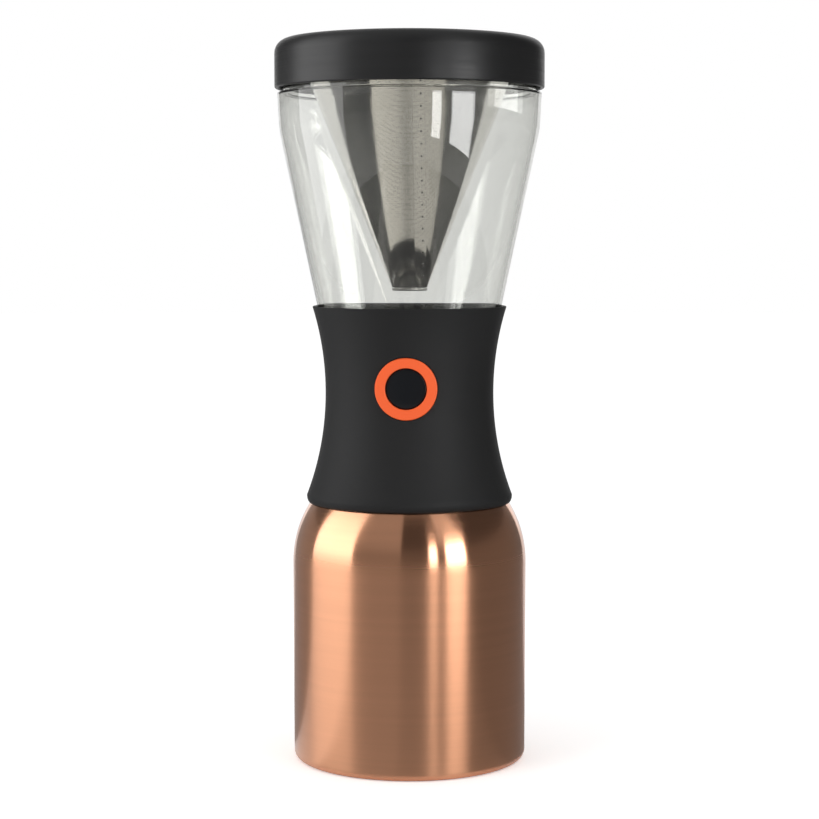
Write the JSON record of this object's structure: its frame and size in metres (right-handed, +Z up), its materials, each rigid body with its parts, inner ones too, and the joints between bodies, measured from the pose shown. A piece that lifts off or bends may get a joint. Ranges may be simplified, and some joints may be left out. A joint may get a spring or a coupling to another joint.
{
  "type": "cold brew coffee maker",
  "caption": "Cold brew coffee maker: clear tapered jar with a steel filter cone and push-on lid, on an hourglass grip with a drain button, over a copper double-walled carafe.",
  "frame": {"origin": "centre of the base, on the surface that the carafe stands on", "axes": "+Z up along the axis of the jar, grip and carafe; the button faces -Y"},
  "size_m": [0.1246, 0.1246, 0.3346],
  "materials": {
    "carafe_outer": "copper colour, brushed round the body",
    "carafe_inner": "polished steel liner",
    "carafe_base": "plain rolled steel",
    "vacuum_seal": "plain",
    "base_pad": "matt",
    "grip_shell": "soft-touch matt black",
    "shoulder_seat": "matt silicone",
    "mouth_gasket": "matt silicone",
    "drip_spout": "moulded",
    "core_housing": "moulded",
    "core_screw_1": "plain",
    "core_screw_2": "plain",
    "core_screw_3": "plain",
    "brew_jar": "clear, polished",
    "jar_drain": "moulded",
    "jar_gasket": "matt silicone",
    "jar_nut": "moulded",
    "stem_guide": "moulded",
    "valve_spring": "drawn wire",
    "button_ring": "orange, satin",
    "button_guide": "moulded",
    "plunger_seal": "matt silicone",
    "button_spring": "drawn wire",
    "button_cap": "glossy black, bare",
    "button_plunger": "moulded",
    "valve_stem": "turned rod",
    "valve_stopper": "matt silicone",
    "filter_rim": "moulded",
    "filter_cone": "polished fine mesh",
    "filter_tip": "pressed cap",
    "lid_shell": "matt black with fine level lines",
    "lid_liner": "moulded",
    "lid_gasket": "matt silicone"
  },
  "bodies": {
    "carafe": {"carafe_outer": "carafe_outer", "carafe_inner": "carafe_inner", "carafe_base": "carafe_base", "vacuum_seal": "vacuum_seal", "base_pad": "base_pad"},
    "brewer": {"grip_shell": "grip_shell", "shoulder_seat": "shoulder_seat", "mouth_gasket": "mouth_gasket", "drip_spout": "drip_spout", "core_housing": "core_housing", "core_screw_1": "core_screw_1", "core_screw_2": "core_screw_2", "core_screw_3": "core_screw_3", "brew_jar": "brew_jar", "jar_drain": "jar_drain", "jar_gasket": "jar_gasket", "jar_nut": "jar_nut", "stem_guide": "stem_guide", "valve_spring": "valve_spring", "button_ring": "button_ring", "button_guide": "button_guide", "plunger_seal": "plunger_seal", "button_spring": "button_spring"},
    "button": {"button_cap": "button_cap", "button_plunger": "button_plunger"},
    "valve": {"valve_stem": "valve_stem", "valve_stopper": "valve_stopper"},
    "filter": {"filter_rim": "filter_rim", "filter_cone": "filter_cone", "filter_tip": "filter_tip"},
    "lid": {"lid_shell": "lid_shell", "lid_liner": "lid_liner", "lid_gasket": "lid_gasket"}
  },
  "joints": [
    {"name": "brewer_lift", "type": "slide", "parent": "carafe", "child": "brewer", "axis": [0, 0, 1], "range_m": [0, 0.06]},
    {"name": "filter_lift", "type": "slide", "parent": "brewer", "child": "filter", "axis": [0, 0, 1], "range_m": [0, 0.13]},
    {"name": "lid_lift", "type": "slide", "parent": "filter", "child": "lid", "axis": [0, 0, 1], "range_m": [0, 0.05]},
    {"name": "button_press", "type": "slide", "parent": "brewer", "child": "button", "axis": [0, 1, 0], "range_m": [0, 0.004], "stiffness_N_per_m": 300, "springref_m": -0.004, "deforming": ["button_spring"]},
    {"name": "valve_lift", "type": "slide", "parent": "brewer", "child": "valve", "axis": [0, 0, 1], "range_m": [0, 0.004], "stiffness_N_per_m": 200, "springref_m": -0.004, "deforming": ["valve_spring"]}
  ],
  "couplings": [
    {"joint": "valve_lift", "follows": "button_press", "ratio": 1}
  ]
}
